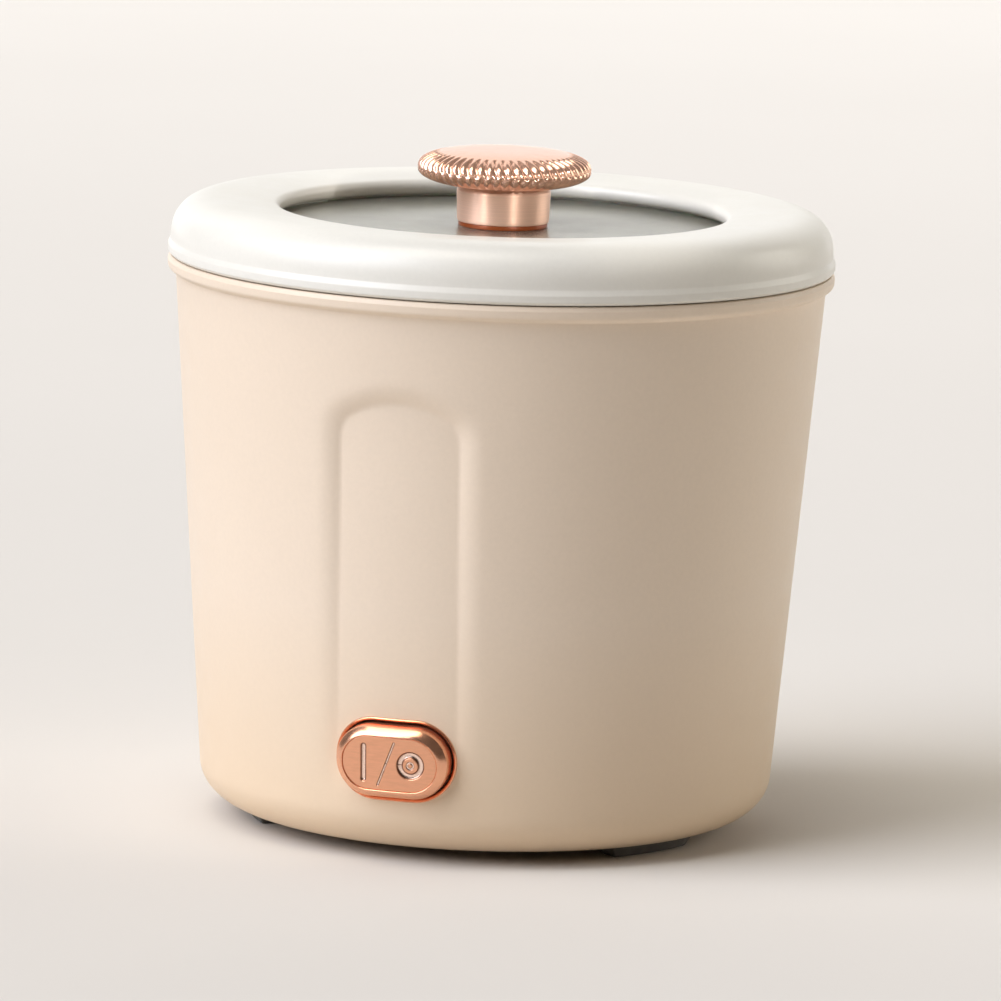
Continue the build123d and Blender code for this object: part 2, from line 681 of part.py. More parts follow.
LINER_LOW = PARTING + 0.9
LINER_HIGH = GLASS_TOP - GLASS_T - 1.1
LINER_T = 1.8
SKIRT_R = 68.2  # skirt that locates the lid in the pot's mouth
SEAL_IN, SEAL_OUT = 69.8, 75.2
POT_ROLL_TOP = POT_LIP - POT_T + 0.9 + ROLL_R
with BuildPart() as lid_liner:
    with BuildSketch(Plane.XZ):
        Polygon(
            (57.0, LINER_HIGH),
            (LINER_R - 1.2, LINER_HIGH),
            (LINER_R, LINER_HIGH - 2.0),
            (LINER_R, LINER_LOW),
            (SEAL_OUT, LINER_LOW),
            (SEAL_OUT, LINER_LOW + 1.2),
            (SEAL_IN, LINER_LOW + 1.2),
            (SEAL_IN, LINER_LOW - 0.9),
            (SKIRT_R, LINER_LOW - 0.9),
            (SKIRT_R, LINER_LOW - 6.5),
            (SKIRT_R - LINER_T, LINER_LOW - 6.5),
            (SKIRT_R - LINER_T, LINER_LOW + 0.6),
            (57.0, LINER_HIGH - LINER_T),
            align=None,
        )
    revolve(axis=Axis.Z)
finish(lid_liner.part, "lid_liner")

with BuildPart() as lid_seal:
    with BuildSketch(Plane.XZ):
        with BuildLine():
            FilletPolyline(
                (SEAL_IN + 0.1, LINER_LOW + 1.1),
                (SEAL_OUT - 0.1, LINER_LOW + 1.1),
                (SEAL_OUT - 0.1, POT_ROLL_TOP + 0.3),
                (SEAL_IN + 0.1, POT_ROLL_TOP + 0.3),
                radius=0.2,
                close=True,
            )
        make_face()
    revolve(axis=Axis.Z)
finish(lid_seal.part, "lid_seal")

# ---------------------------------------------------------------- knob

with BuildPart() as knob_collar:
    with BuildSketch(Plane.XY.offset(GLASS_TOP)):
        Circle(COLLAR_R)
        Circle(KNOB_BORE_R, mode=Mode.SUBTRACT)
    extrude(amount=COLLAR_TOP - GLASS_TOP)
finish(knob_collar.part, "knob_collar")

with BuildPart() as knob_neck:
    with BuildSketch(Plane.XZ):
        with BuildLine():
            FilletPolyline(
                (KNOB_BORE_R, COLLAR_TOP),
                (NECK_R_LOW, COLLAR_TOP),
                (NECK_R_HIGH, NECK_TOP - 1.2),
                (CAP_UNDER_R, NECK_TOP),
                (KNOB_BORE_R, NECK_TOP),
                radius=[0, 0.5, 0.8, 0, 0],
                close=True,
            )
        make_face()
    revolve(axis=Axis.Z)
finish(knob_neck.part, "knob_neck")

cap_side = superellipse(0, CAP_EQUATOR, CAP_R, CAP_TOP - CAP_EQUATOR, CAP_ROUNDNESS, 16)
cap_under = superellipse(
    CAP_UNDER_R, CAP_EQUATOR, CAP_R - CAP_UNDER_R, NECK_TOP - CAP_EQUATOR, 2.0, 8
)
INSERT_TOP = CAP_EQUATOR + 0.5
with BuildPart() as knob_cap:
    with BuildSketch(Plane.XZ):
        with BuildLine():
            Spline(*cap_side, tangents=((0, 1), (-1, 0)))
            Polyline(
                cap_side[-1],
                (0, INSERT_TOP),
                (KNOB_BORE_R, INSERT_TOP),
                (KNOB_BORE_R, NECK_TOP),
                cap_under[-1],
            )
            Spline(*reversed(cap_under), tangents=((1, 0), (0, 1)))
        make_face()
    revolve(axis=Axis.Z)
    # knurled edge: shallow slanted notches all round
    with PolarLocations(CAP_R + 0.5, KNURLS):
        Cylinder(NOTCH_R, 9, rotation=(NOTCH_SLANT, 0, 0), mode=Mode.SUBTRACT)
finish(knob_cap.part, "knob_cap")

GASKET_T = 1.0
with BuildPart() as knob_gasket:
    with BuildSketch(Plane.XY.offset(GLASS_TOP - GLASS_T - GASKET_T)):
        Circle(9)
        Circle(KNOB_BORE_R, mode=Mode.SUBTRACT)
    extrude(amount=GASKET_T)
finish(knob_gasket.part, "knob_gasket")

WASHER_LOW = GLASS_TOP - GLASS_T - 2 * GASKET_T
with BuildPart() as knob_washer:
    with BuildSketch(Plane.XY.offset(WASHER_LOW)):
        Circle(7.5)
        Circle(KNOB_BORE_R, mode=Mode.SUBTRACT)
    extrude(amount=GASKET_T)
finish(knob_washer.part, "knob_washer")

HEAD_H = 2.4
with BuildPart() as knob_screw:
    with BuildSketch(Plane.XY.offset(WASHER_LOW - HEAD_H)):
        Circle(4.4)
    extrude(amount=HEAD_H)
    fillet(knob_screw.edges().group_by(Axis.Z)[0], 1.2)
    with BuildSketch(Plane.XY.offset(WASHER_LOW - HEAD_H)):
        Rectangle(4.6, 0.9)
        Rectangle(0.9, 4.6)
    extrude(amount=1.2, mode=Mode.SUBTRACT)
    with BuildSketch(Plane.XY.offset(WASHER_LOW)):
        Circle(KNOB_SCREW_R)
    extrude(amount=INSERT_TOP - WASHER_LOW - 0.5)
finish(knob_screw.part, "knob_screw")
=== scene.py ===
import math

import bmesh
import bpy
from mathutils import Matrix, Vector

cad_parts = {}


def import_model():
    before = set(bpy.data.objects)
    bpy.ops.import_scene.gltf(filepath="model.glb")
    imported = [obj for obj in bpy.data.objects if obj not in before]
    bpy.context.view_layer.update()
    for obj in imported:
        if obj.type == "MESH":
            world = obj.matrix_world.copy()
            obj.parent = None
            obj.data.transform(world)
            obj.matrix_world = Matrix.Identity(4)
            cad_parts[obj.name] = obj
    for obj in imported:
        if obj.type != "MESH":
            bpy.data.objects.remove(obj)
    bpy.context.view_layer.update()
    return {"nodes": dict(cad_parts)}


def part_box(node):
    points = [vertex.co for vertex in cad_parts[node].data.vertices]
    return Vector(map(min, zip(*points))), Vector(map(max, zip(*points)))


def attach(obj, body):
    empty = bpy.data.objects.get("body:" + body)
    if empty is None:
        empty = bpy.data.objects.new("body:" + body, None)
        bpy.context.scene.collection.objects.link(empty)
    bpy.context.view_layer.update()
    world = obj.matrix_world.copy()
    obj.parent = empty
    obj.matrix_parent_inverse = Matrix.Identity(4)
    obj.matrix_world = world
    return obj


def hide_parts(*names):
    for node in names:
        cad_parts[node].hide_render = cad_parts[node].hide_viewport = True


# The looks of a small round yogurt maker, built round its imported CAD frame. Everything is in metres.

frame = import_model()

MM = 0.001
FRONT_FLAT = math.radians(24)  # half of the front sector that holds the recess and the button

# ---- sizes read from the frame ----
SHELL_LOW, SHELL_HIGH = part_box("outer_shell")
FOOT_H = SHELL_LOW.z
PARTING = SHELL_HIGH.z
RIM_R = 80.0 * MM
LID_LOW, LID_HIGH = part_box("lid_ring")
LID_BOTTOM, LID_TOP = LID_LOW.z, LID_HIGH.z
GLASS_LOW, GLASS_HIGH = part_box("lid_glass")
CAP_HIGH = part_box("knob_cap")[1]
NECK_LOW, NECK_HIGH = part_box("knob_neck")
COLLAR_LOW, COLLAR_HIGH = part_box("knob_collar")
POT_LOW, POT_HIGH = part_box("inner_pot")
BOWL_LOW, BOWL_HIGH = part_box("heating_bowl")
SEAL_LOW, SEAL_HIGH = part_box("lid_seal")
LINER_LOW, LINER_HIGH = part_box("lid_liner")
GASKET_LOW, GASKET_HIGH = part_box("glass_gasket")

# ---- housing, as in the CAD ----
WALL = 2.2 * MM
WALL_TOP = PARTING - 3.95 * MM
WALL_TOP_R = 77.97 * MM
WALL_BOTTOM_R = 68.15 * MM
SLOPE = (WALL_TOP_R - WALL_BOTTOM_R) / (WALL_TOP - FOOT_H)
TILT = math.atan(SLOPE)
OPENING_R = 40 * MM
BASE_PLATE_R = 50.3 * MM
LEDGE = 2 * MM

# ---- arched recess ----
ARCH_HALF_W = 15.0 * MM
ARCH_TOP = 110.4 * MM
ARCH_R = 23.6 * MM
ARCH_SHOULDER = 5.6 * MM  # width of the soft shoulder
ARCH_DEPTH = 1.7 * MM

# ---- power button ----
BUTTON_Z = 25.4 * MM
BUTTON_FACE_LIFT = 4.4 * MM
CROWN_R = 85 * MM  # curve of the button across its width
BUTTON_NORMAL = Vector((0, -math.cos(TILT), -math.sin(TILT)))
BUTTON_UP = Vector((0, -math.sin(TILT), math.cos(TILT)))


def wall_r(z):
    """Outer radius of the tapered wall at height z."""
    return WALL_BOTTOM_R + SLOPE * (z - FOOT_H)


def smoothstep(t):
    """0 to 1, with flat ends."""
    t = min(max(t, 0.0), 1.0)
    return t * t * (3 - 2 * t)


# ---------------------------------------------------------------- mesh helpers


def rounded(corners, steps=6):
    """A closed outline from (r, z, fillet) corners, in millimetres, returned in metres."""
    outline = []
    for i, (r, z, fillet) in enumerate(corners):
        corner = Vector((r, z))
        before = Vector(corners[i - 1][:2]) - corner
        after = Vector(corners[(i + 1) % len(corners)][:2]) - corner
        if fillet == 0:
            outline.append(corner)
            continue
        half = before.angle(after) / 2
        reach = min(fillet / math.tan(half), 0.49 * before.length, 0.49 * after.length)
        radius = reach * math.tan(half)
        centre = corner + (before.normalized() + after.normalized()).normalized() * radius / math.sin(half)
        start = corner + before.normalized() * reach - centre
        end = corner + after.normalized() * reach - centre
        turn = math.atan2(start.x * end.y - start.y * end.x, start.dot(end))
        for k in range(steps + 1):
            outline.append(centre + Matrix.Rotation(turn * k / steps, 2) @ start)
    return [(p.x * MM, p.y * MM) for p in outline]


def densify(outline, step, wanted):
    """Splits an outline's long edges into steps, where wanted(r, z) holds at both ends."""
    result = []
    for i, (r, z) in enumerate(outline):
        r2, z2 = outline[(i + 1) % len(outline)]
        result.append((r, z))
        length = math.hypot(r2 - r, z2 - z)
        if length > step and wanted(r, z) and wanted(r2, z2):
            count = math.ceil(length / step)
            result += [(r + (r2 - r) * k / count, z + (z2 - z) * k / count) for k in range(1, count)]
    return result


def piece(name, verts, faces, sharp=35):
    """A smooth-shaded mesh object with merged doubles and outward normals."""
    mesh = bpy.data.meshes.new(name)
    mesh.from_pydata([tuple(v) for v in verts], [], faces)
    work = bmesh.new()
    work.from_mesh(mesh)
    bmesh.ops.remove_doubles(work, verts=work.verts, dist=2e-7)
    bmesh.ops.dissolve_degenerate(work, edges=work.edges, dist=1e-8)
    bmesh.ops.recalc_face_normals(work, faces=work.faces)
    work.to_mesh(mesh)
    work.free()
    mesh.shade_smooth()
    mesh.set_sharp_from_angle(angle=math.radians(sharp))
    obj = bpy.data.objects.new(name, mesh)
    bpy.context.scene.collection.objects.link(obj)
    return obj


def grid_faces(rows, columns, wrap_rows=True, wrap_columns=True):
    """Quads of a grid of rows x columns points, wrapped round in either direction."""
    faces = []
    for i in range(rows if wrap_rows else rows - 1):
        for j in range(columns if wrap_columns else columns - 1):
            a, b = i * columns, ((i + 1) % rows) * columns
            k = (j + 1) % columns
            faces.append((a + j, a + k, b + k, b + j))
    return faces


def even_angles(count):
    return [2 * math.pi * i / count for i in range(count)]


def front_angles():
    """Angles round the housing, close together across the front sector."""
    fine, coarse = 96, 200
    front = [-FRONT_FLAT + 2 * FRONT_FLAT * i / fine for i in range(fine)]
    rest = 2 * (math.pi - FRONT_FLAT)
    return front + [FRONT_FLAT + rest * i / coarse for i in range(coarse)]


def revolve(name, outline, angles=None, push=None, sharp=35):
    """A solid of revolution from a closed (r, z) outline; angles are from the front.
    push(r, z, angle) gives a new radius."""
    angles = angles or even_angles(256)
    verts = []
    for angle in angles:
        for r, z in outline:
            radius = push(r, z, angle) if push else r
            verts.append((radius * math.sin(angle), -radius * math.cos(angle), z))
    return piece(name, verts, grid_faces(len(angles), len(outline)), sharp)


def stadium(half_straight, radius, count):
    """Points (x, y) of a stadium outline, evenly spaced by length."""
    straight = 2 * half_straight
    total = 2 * straight + 2 * math.pi * radius
    points = []
    for i in range(count):
        s = total * i / count
        if s < straight:
            points.append((-half_straight + s, -radius))
        elif s < straight + math.pi * radius:
            a = (s - straight) / radius - math.pi / 2
            points.append((half_straight + radius * math.cos(a), radius * math.sin(a)))
        elif s < 2 * straight + math.pi * radius:
            points.append((half_straight - (s - straight - math.pi * radius), radius))
        else:
            a = (s - 2 * straight - math.pi * radius) / radius + math.pi / 2
            points.append((-half_straight + radius * math.cos(a), radius * math.sin(a)))
    return points


def on_button(x, y, lift):
    """A point of the button's own frame, in the row frame."""
    middle = Vector((0, -wall_r(BUTTON_Z), BUTTON_Z))
    return middle + Vector((x, 0, 0)) + BUTTON_UP * y + BUTTON_NORMAL * lift


def cut(obj, cutter):
    """Cuts one mesh out of another and removes the cutter."""
    modifier = obj.modifiers.new("cut", "BOOLEAN")
    modifier.operation, modifier.solver, modifier.object = "DIFFERENCE", "EXACT", cutter
    bpy.context.view_layer.update()
    result = bpy.data.meshes.new_from_object(obj.evaluated_get(bpy.context.evaluated_depsgraph_get()))
    obj.modifiers.clear()
    obj.data = result
    obj.data.set_sharp_from_angle(angle=math.radians(35))
    bpy.data.objects.remove(cutter)


def prism(name, outline, place, low, high):
    """A closed prism: outline (x, y) points placed by place(x, y, lift) from lift low to high."""
    count = len(outline)
    verts = [place(x, y, low) for x, y in outline] + [place(x, y, high) for x, y in outline]
    faces = grid_faces(2, count, wrap_rows=False)
    faces += [tuple(range(count)), tuple(range(2 * count - 1, count - 1, -1))]
    return piece(name, verts, faces)


# ---------------------------------------------------------------- material helpers


class Shader:
    """A procedural material: a Principled shader with noise-driven colour, roughness and bump."""

    def __init__(self, name, color, roughness, metallic=0.0, **sockets):
        self.material = bpy.data.materials.new(name)
        self.material.use_nodes = True
        self.tree = self.material.node_tree
        self.bsdf = self.tree.nodes["Principled BSDF"]
        self.coords = self.tree.nodes.new("ShaderNodeTexCoord")
        self.set(self.bsdf, **{"Base Color": (*color, 1), "Roughness": roughness, "Metallic": metallic})
        self.set(self.bsdf, **sockets)
        self.color, self.height = None, None

    def set(self, node, **values):
        for key, value in values.items():
            node.inputs[key].default_value = value

    def node(self, kind, **values):
        made = self.tree.nodes.new(kind)
        self.set(made, **values)
        return made

    def link(self, output, target):
        self.tree.links.new(output, target)

    def position(self, scale=(1, 1, 1)):
        """Object coordinates, stretched."""
        mapping = self.node("ShaderNodeMapping")
        mapping.inputs["Scale"].default_value = scale
        self.link(self.coords.outputs["Object"], mapping.inputs["Vector"])
        return mapping.outputs["Vector"]

    def noise(self, size, stretch=(1, 1, 1), detail=3.0):
        """Noise with features of about size metres."""
        made = self.node("ShaderNodeTexNoise", Scale=1 / size, Detail=detail)
        self.link(self.position(stretch), made.inputs["Vector"])
        return made.outputs["Fac"]

    def ranged(self, value, low, high, from_low=0.3, from_high=0.7):
        """A noise value spread between two numbers."""
        made = self.node("ShaderNodeMapRange")
        self.link(value, made.inputs["Value"])
        numbers = {"From Min": from_low, "From Max": from_high, "To Min": low, "To Max": high}
        self.set(made, **numbers)
        return made.outputs["Result"]

    def math(self, operation, a, b):
        made = self.tree.nodes.new("ShaderNodeMath")
        made.operation = operation
        for socket, value in zip(made.inputs, (a, b)):
            if isinstance(value, (int, float)):
                socket.default_value = value
            else:
                self.link(value, socket)
        return made.outputs["Value"]

    def mottle(self, other, factor):
        """Mixes the colour so far with another, by a factor socket."""
        mix = self.tree.nodes.new("ShaderNodeMix")
        mix.data_type = "RGBA"
        self.link(factor, mix.inputs["Factor"])
        if self.color is None:
            mix.inputs["A"].default_value = self.bsdf.inputs["Base Color"].default_value
        else:
            self.link(self.color, mix.inputs["A"])
        mix.inputs["B"].default_value = (*other, 1)
        self.color = mix.outputs["Result"]
        self.link(self.color, self.bsdf.inputs["Base Color"])

    def rough(self, value):
        self.link(value, self.bsdf.inputs["Roughness"])

    def bump(self, value, distance, strength=1.0):
        """Adds a bump of a height value, in metres at full strength."""
        made = self.node("ShaderNodeBump", Strength=strength, Distance=distance)
        self.link(value, made.inputs["Height"])
        if self.height is not None:
            self.link(self.height, made.inputs["Normal"])
        self.height = made.outputs["Normal"]
        self.link(self.height, self.bsdf.inputs["Normal"])

    def coordinate(self, axis):
        split = self.tree.nodes.new("ShaderNodeSeparateXYZ")
        self.link(self.coords.outputs["Object"], split.inputs["Vector"])
        return split.outputs[axis]

    def radius(self):
        """Distance from the vertical axis."""
        x, y = self.coordinate("X"), self.coordinate("Y")
        squares = self.math("ADD", self.math("MULTIPLY", x, x), self.math("MULTIPLY", y, y))
        return self.math("SQRT", squares, 0)


def moulded_plastic(name, color, other, roughness, grain=0.35 * MM, grain_depth=0.012 * MM, coat=0.0):
    """Moulded plastic: faint cloudy colour, a fine eroded grain, and uneven gloss."""
    gloss = {"Coat Weight": coat, "Coat Roughness": 0.25, "IOR": 1.47}
    s = Shader(name, color, roughness, **gloss)
    s.mottle(other, s.ranged(s.noise(38 * MM, detail=4), 0.0, 0.8))
    s.mottle([c * 0.93 for c in color], s.ranged(s.noise(1.1 * MM), 0.0, 0.35))
    s.rough(s.ranged(s.noise(7 * MM), roughness - 0.05, roughness + 0.06))
    s.bump(s.noise(grain, detail=2), grain_depth)
    s.bump(s.noise(16 * MM, detail=1), 0.02 * MM, 0.4)
    return s


def polished_metal(name, color, roughness, scratch=0.006 * MM, metallic=1.0):
    """Plated metal: polished, with fine hairlines and a little handling haze."""
    s = Shader(name, color, roughness, metallic=metallic)
    s.mottle([c * 0.9 for c in color], s.ranged(s.noise(3 * MM, detail=4), 0.0, 0.5))
    s.rough(s.ranged(s.noise(2.2 * MM, detail=5), roughness * 0.92, roughness * 1.12))
    s.bump(s.noise(0.5 * MM, (0.4, 1, 3), detail=3), scratch, 0.5)
    return s


def turned_metal(name, color, roughness, pitch=0.22 * MM, depth=0.004 * MM, anisotropy=0.6, metallic=1.0):
    """Metal turned on a lathe: fine rings round the vertical axis."""
    turned = {"Anisotropic": anisotropy, "Anisotropic Rotation": 0.25}
    s = Shader(name, color, roughness, metallic=metallic, **turned)
    rings = s.tree.nodes.new("ShaderNodeCombineXYZ")
    s.link(s.radius(), rings.inputs["X"])
    s.link(s.coordinate("Z"), rings.inputs["Y"])
    noise = s.node("ShaderNodeTexNoise", Scale=1 / pitch, Detail=3)
    s.link(rings.outputs["Vector"], noise.inputs["Vector"])
    tangent = s.tree.nodes.new("ShaderNodeTangent")
    tangent.direction_type, tangent.axis = "RADIAL", "Z"
    s.link(tangent.outputs["Tangent"], s.bsdf.inputs["Tangent"])
    s.mottle([c * 0.88 for c in color], s.ranged(noise.outputs["Fac"], 0.0, 0.7))
    s.rough(s.ranged(s.noise(9 * MM), roughness * 0.85, roughness * 1.2))
    s.bump(noise.outputs["Fac"], depth)
    return s


def spun_metal(name, color, roughness):
    """A large spun part: fine level lines, and a very faint haze."""
    s = Shader(name, color, roughness, metallic=1.0)
    lines = s.noise(3 * MM, (0.12, 0.12, 9), detail=4)
    s.mottle([c * 0.93 for c in color], s.ranged(lines, 0.0, 0.6))
    s.rough(s.ranged(s.noise(45 * MM, detail=2), roughness * 0.95, roughness * 1.08))
    s.bump(lines, 0.002 * MM)
    return s


def satin_metal(name, color, roughness, direction=(1, 1, 14)):
    """Brushed or blasted metal with a fine grain along one axis."""
    s = Shader(name, color, roughness, metallic=1.0)
    grain = s.noise(0.9 * MM, direction, detail=4)
    s.mottle([c * 0.86 for c in color], s.ranged(grain, 0.0, 0.6))
    s.rough(s.ranged(grain, roughness * 0.85, roughness * 1.25))
    s.bump(grain, 0.006 * MM)
    return s


def satin_with_painted_groove_light(name, color, roughness):
    """Satin metal whose engraved marks get painted shade as dark brown edges, and a painted highlight as a paler,
    less metallic bottom that is also smoother.
    """
    s = satin_metal(name, color, roughness, (0.3, 2, 2))
    attribute = s.node("ShaderNodeAttribute")
    attribute.attribute_name = "groove"
    groove = attribute.outputs["Fac"]
    bottom = s.ranged(groove, 0.0, 1.0, 0.3, 0.65)
    # painted shade: the edges of the marks are darkened to a dark brown
    s.mottle([c * 0.2 for c in color], s.ranged(groove, 0.0, 0.9, 0.01, 0.12))
    # painted highlight: the bottoms of the marks are paled and made less metallic so they read bright
    s.mottle([min(1, c * 0.7 + 0.42) for c in color], bottom)
    s.link(s.ranged(bottom, 1.0, 0.75, 0.0, 1.0), s.bsdf.inputs["Metallic"])
    grain = s.ranged(s.noise(0.5 * MM), roughness * 0.9, roughness * 1.1)
    s.rough(s.math("SUBTRACT", grain, s.math("MULTIPLY", groove, 0.18)))
    return s


def rubber(name, color, roughness=0.62):
    """Moulded rubber: matte, dusty, with a slight sheen at grazing angles."""
    s = Shader(name, color, roughness, **{"Sheen Weight": 0.15, "IOR": 1.5})
    s.mottle([min(1, c * 1.8 + 0.02) for c in color], s.ranged(s.noise(4 * MM, detail=6), 0.0, 0.5))
    s.rough(s.ranged(s.noise(1.5 * MM), roughness - 0.08, roughness + 0.1))
    s.bump(s.noise(0.3 * MM), 0.02 * MM)
    return s


def felt(name, color):
    """Needled felt: matted fibres."""
    s = Shader(name, color, 0.95, **{"Sheen Weight": 0.4})
    fibres = s.noise(0.9 * MM, (1, 1, 0.4), detail=8)
    s.mottle([c * 0.6 for c in color], s.ranged(fibres, 0.0, 0.8))
    s.bump(fibres, 0.25 * MM)
    return s


def window_glass(name):
    """Slightly clouded glass with a grey-green body colour and wiped haze."""
    s = Shader(name, (0.80, 0.78, 0.68), 0.22, **{"Transmission Weight": 0.86, "IOR": 1.42})
    s.rough(s.ranged(s.noise(12 * MM, detail=5), 0.20, 0.25))
    s.mottle((0.73, 0.72, 0.62), s.ranged(s.noise(30 * MM), 0.0, 0.5))
    s.bump(s.noise(25 * MM, detail=1), 0.01 * MM, 0.3)
    return s


def silicone(name, color):
    """Milky silicone with a soft bloom."""
    s = Shader(name, color, 0.42, **{"Subsurface Weight": 0.25, "Subsurface Scale": 1.5 * MM, "IOR": 1.41})
    s.mottle([c * 0.85 for c in color], s.ranged(s.noise(2.5 * MM, detail=5), 0.0, 0.6))
    s.rough(s.ranged(s.noise(3 * MM), 0.35, 0.5))
    s.bump(s.noise(0.4 * MM), 0.01 * MM)
    return s


CREAM = (0.85, 0.705, 0.555)
LID_CREAM = (0.825, 0.797, 0.722)
ROSE = (0.93, 0.47, 0.29)
PALE_ROSE = (0.96, 0.57, 0.41)
SATIN_ROSE = (0.97, 0.64, 0.48)
STEEL = (0.62, 0.61, 0.59)
ALUMINIUM = (0.70, 0.71, 0.72)

SHELL = moulded_plastic("shell_cream", CREAM, (0.84, 0.695, 0.545), 0.46)
# painted shade: towards its bottom edge the wall's colour is blended into a darker, warmer tone, standing in for
# warm bounce light and shade near the floor
PAINTED_BOUNCE_SHADE = (0.77, 0.57, 0.36)  # the wall is a little warmer towards its bottom edge
SHELL.mottle(PAINTED_BOUNCE_SHADE, SHELL.ranged(SHELL.coordinate("Z"), 0.65, 0.0, 4 * MM, 60 * MM))
LID = moulded_plastic("lid_cream", LID_CREAM, (0.81, 0.777, 0.70), 0.36, grain_depth=0.006 * MM, coat=0.15)
ROSE_POLISHED = polished_metal("rose_gold_polished", PALE_ROSE, 0.2, scratch=0.003 * MM, metallic=0.76)
ROSE_BUTTON = polished_metal("rose_gold_button", ROSE, 0.24, scratch=0.0015 * MM, metallic=0.88)
ROSE_FACE = satin_with_painted_groove_light("rose_gold_face", ROSE, 0.36)
ROSE_SATIN = turned_metal("rose_gold_satin", SATIN_ROSE, 0.42, depth=0.002 * MM, anisotropy=0.8,
                          metallic=0.5)
COPPER_BROWN = polished_metal("copper_brown", (0.31, 0.07, 0.016), 0.3, metallic=0.2)
GLASS = window_glass("window_glass")
SILICONE = silicone("silicone_milky", (0.78, 0.75, 0.68))
RUBBER = rubber("foot_rubber", (0.085, 0.078, 0.066))
POT_STEEL = spun_metal("pot_steel", STEEL, 0.3)
BOWL_METAL = spun_metal("bowl_aluminium", ALUMINIUM, 0.4)
CAST = satin_metal("heater_aluminium", (0.55, 0.55, 0.56), 0.5, (1, 1, 1))
CERAMIC = moulded_plastic("ptc_ceramic", (0.24, 0.22, 0.20), (0.3, 0.28, 0.25), 0.7, grain=0.2 * MM)
SPRING = satin_metal("spring_steel", (0.5, 0.5, 0.5), 0.35, (0.2, 2, 2))
SCREW = turned_metal("screw_steel", (0.62, 0.61, 0.58), 0.3, pitch=0.15 * MM)
FELT = felt("felt", (0.62, 0.58, 0.50))
INNER = moulded_plastic("inner_plastic", (0.84, 0.81, 0.745), (0.81, 0.775, 0.71), 0.5)
BLACK = moulded_plastic("black_plastic", (0.018, 0.018, 0.018), (0.028, 0.027, 0.026), 0.5, grain=0.5 * MM,
                        grain_depth=0.04 * MM)
BRASS = satin_metal("brass", (0.82, 0.60, 0.27), 0.25, (3, 0.3, 3))
RED_LEAD = moulded_plastic("lead_red", (0.42, 0.02, 0.015), (0.34, 0.015, 0.012), 0.4)
BLUE_LEAD = moulded_plastic("lead_blue", (0.02, 0.06, 0.30), (0.015, 0.05, 0.24), 0.4)


def dress(obj, shader, slot=None, body=None, *replaced):
    """Gives a piece its material, and places it on its body."""
    obj.data.materials.clear()
    obj.data.materials.append(shader.material)
    if body:
        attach(obj, body)
    if replaced:
        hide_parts(*replaced)
    return obj


# ---------------------------------------------------------------- housing


def recess_depth(x, z):
    """Depth of the arched recess at a place on the front of the wall."""
    centre_z = ARCH_TOP - ARCH_R
    side = abs(x) - ARCH_HALF_W
    arc = math.hypot(x, max(z - centre_z, 0.0)) - ARCH_R
    blend = 3.0 * MM
    h = max(blend - abs(side - arc), 0.0) / blend
    outside = max(side, arc) + h * h * blend / 4
    shape = (1 - min(max(outside / ARCH_SHOULDER, 0.0), 1.0)) ** 2
    low_end, high_end = 14 * MM, 100 * MM
    fade = 0.22 + 0.78 * (z - low_end) / (high_end - low_end)
    return ARCH_DEPTH * shape * min(max(fade, 0.0), 1.0) * smoothstep((z - low_end) / (12 * MM))


def housing():
    mm = 1 / MM
    foot, top, parting, rim = FOOT_H * mm, WALL_TOP * mm, PARTING * mm, RIM_R * mm
    inner_top = top - 6.9
    wide, high = 13.5, 10.5
    bend = [math.radians(-90 + 86 * i / 16) for i in range(17)]
    bottom_r = wall_r(FOOT_H + high * MM) * mm - wide
    corners = [
        (OPENING_R * mm, foot + 2, 0.4),
        (BASE_PLATE_R * mm, foot + 2, 0),
        (BASE_PLATE_R * mm, foot, 0.3),
        *[(bottom_r + wide * math.cos(a), foot + high + high * math.sin(a), 0) for a in bend],
        (WALL_TOP_R * mm, top, 0.5),
        (rim - 0.15, top + 0.9, 1.1),
        (rim, parting - 1.1, 0.5),
        (rim - 0.5, parting, 0.5),
        (rim - 4.8, parting, 0.5),
        (rim - 4.8, top - 1.9, 0),
        (rim - 7.8, top - 1.9, 0.4),
        (rim - 7.8, top - 3.9, 0),
        ((wall_r(inner_top * MM) - WALL) * mm, inner_top, 0),
        ((wall_r(FOOT_H + 2 * LEDGE) - WALL) * mm, foot + 4, 7.8),
        (OPENING_R * mm, foot + 4, 0.4),
    ]

    def on_wall(r, z):
        return r > wall_r(z) - 0.4 * MM and WALL_TOP + MM > z > 12 * MM

    def push(r, z, angle):
        if on_wall(r, z) and math.cos(angle) > 0.8:
            return r - recess_depth(r * math.sin(angle), z)
        return r

    outline = densify(rounded(corners, steps=8), 0.8 * MM, on_wall)
    shell = revolve("housing_shell", outline, front_angles(), push)
    hole = stadium(5 * MM, 9.5 * MM, 96)
    cut(shell, prism("button_hole", hole, on_button, -8 * MM, 12 * MM))
    return shell


dress(housing(), SHELL, "shell_cream", "base", "outer_shell")


